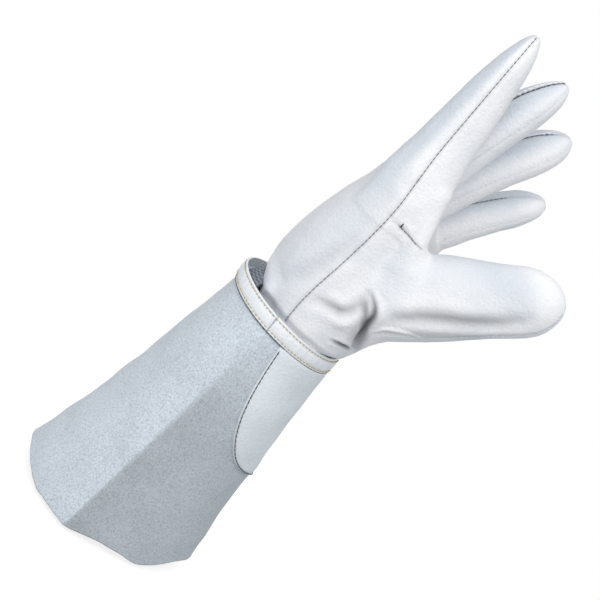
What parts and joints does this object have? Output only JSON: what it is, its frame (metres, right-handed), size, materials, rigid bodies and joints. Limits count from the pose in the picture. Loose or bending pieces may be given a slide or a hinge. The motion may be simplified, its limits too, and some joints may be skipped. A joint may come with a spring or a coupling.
{
  "type": "welding glove",
  "caption": "Left-hand leather welding gauntlet: smooth grain leather hand with separately sewn fingers, stitched wristband and flared split-leather cuff.",
  "frame": {"origin": "centre of the cuff's opening, in the plane of its rim", "axes": "+Z from the rim of the cuff to the finger tips, +X towards the palm side, -Y towards the thumb side"},
  "size_m": [0.1771, 0.1282, 0.3584],
  "materials": {
    "grain_leather": "smooth white grain leather, satin",
    "split_leather": "grey split leather with a short suede nap, matt",
    "patch_leather": "pale smooth leather, satin",
    "band_leather": "white grain leather strip, satin",
    "dark_thread": "dark grey sewing thread, matt",
    "tan_thread": "straw-coloured sewing thread, matt",
    "elastic_webbing": "grey woven elastic, matt"
  },
  "bodies": {
    "cuff": {"cuff_wrap": "split_leather", "cuff_seam_thread": "dark_thread", "pulse_patch": "patch_leather", "pulse_patch_thread": "dark_thread", "wristband_back": "band_leather", "wristband_palm": "band_leather", "wristband_lower_thread": "tan_thread", "wristband_upper_thread": "tan_thread", "wrist_elastic": "elastic_webbing"},
    "hand": {"hand_back": "grain_leather", "hand_palm": "grain_leather", "thumb_side_panel": "grain_leather", "crotch_welt": "grain_leather", "side_seam_thread": "dark_thread", "outer_seam_thread": "dark_thread"},
    "index_finger": {"index_back": "grain_leather", "index_palm": "grain_leather", "index_inner_forchette": "grain_leather", "index_seam_thread": "dark_thread"},
    "middle_finger": {"middle_back": "grain_leather", "middle_palm": "grain_leather", "middle_index_forchette": "grain_leather", "middle_ring_forchette": "grain_leather", "middle_seam_thread": "dark_thread"},
    "ring_finger": {"ring_back": "grain_leather", "ring_palm": "grain_leather", "ring_middle_forchette": "grain_leather", "ring_little_forchette": "grain_leather", "ring_seam_thread": "dark_thread"},
    "little_finger": {"little_back": "grain_leather", "little_palm": "grain_leather", "little_inner_forchette": "grain_leather", "little_seam_thread": "dark_thread"},
    "thumb": {"thumb_back": "grain_leather", "thumb_front": "grain_leather", "thumb_seam_thread": "dark_thread"}
  },
  "joints": [
    {"name": "wrist_bend", "type": "hinge", "parent": "cuff", "child": "hand", "pos_m": [0.047, 0, 0.15574], "axis": [0, 1, 0], "range_deg": [0, 20], "stiffness_Nm_per_rad": 1.5},
    {"name": "index_bend", "type": "hinge", "parent": "hand", "child": "index_finger", "pos_m": [0.0365, -0.0375, 0.2622], "axis": [0, 1, 0], "range_deg": [0, 60], "stiffness_Nm_per_rad": 0.25},
    {"name": "middle_bend", "type": "hinge", "parent": "hand", "child": "middle_finger", "pos_m": [0.03583, -0.0125, 0.25796], "axis": [0, 1, 0], "range_deg": [0, 50], "stiffness_Nm_per_rad": 0.25},
    {"name": "ring_bend", "type": "hinge", "parent": "hand", "child": "ring_finger", "pos_m": [0.04254, 0.0125, 0.2481], "axis": [0, 1, 0], "range_deg": [0, 45], "stiffness_Nm_per_rad": 0.25},
    {"name": "little_bend", "type": "hinge", "parent": "hand", "child": "little_finger", "pos_m": [0.05435, 0.0375, 0.23221], "axis": [0, 1, 0], "range_deg": [0, 42], "stiffness_Nm_per_rad": 0.25},
    {"name": "thumb_bend", "type": "hinge", "parent": "hand", "child": "thumb", "pos_m": [0.04741, -0.03, 0.23625], "axis": [0, -1, 0], "range_deg": [0, 15], "stiffness_Nm_per_rad": 0.3}
  ]
}
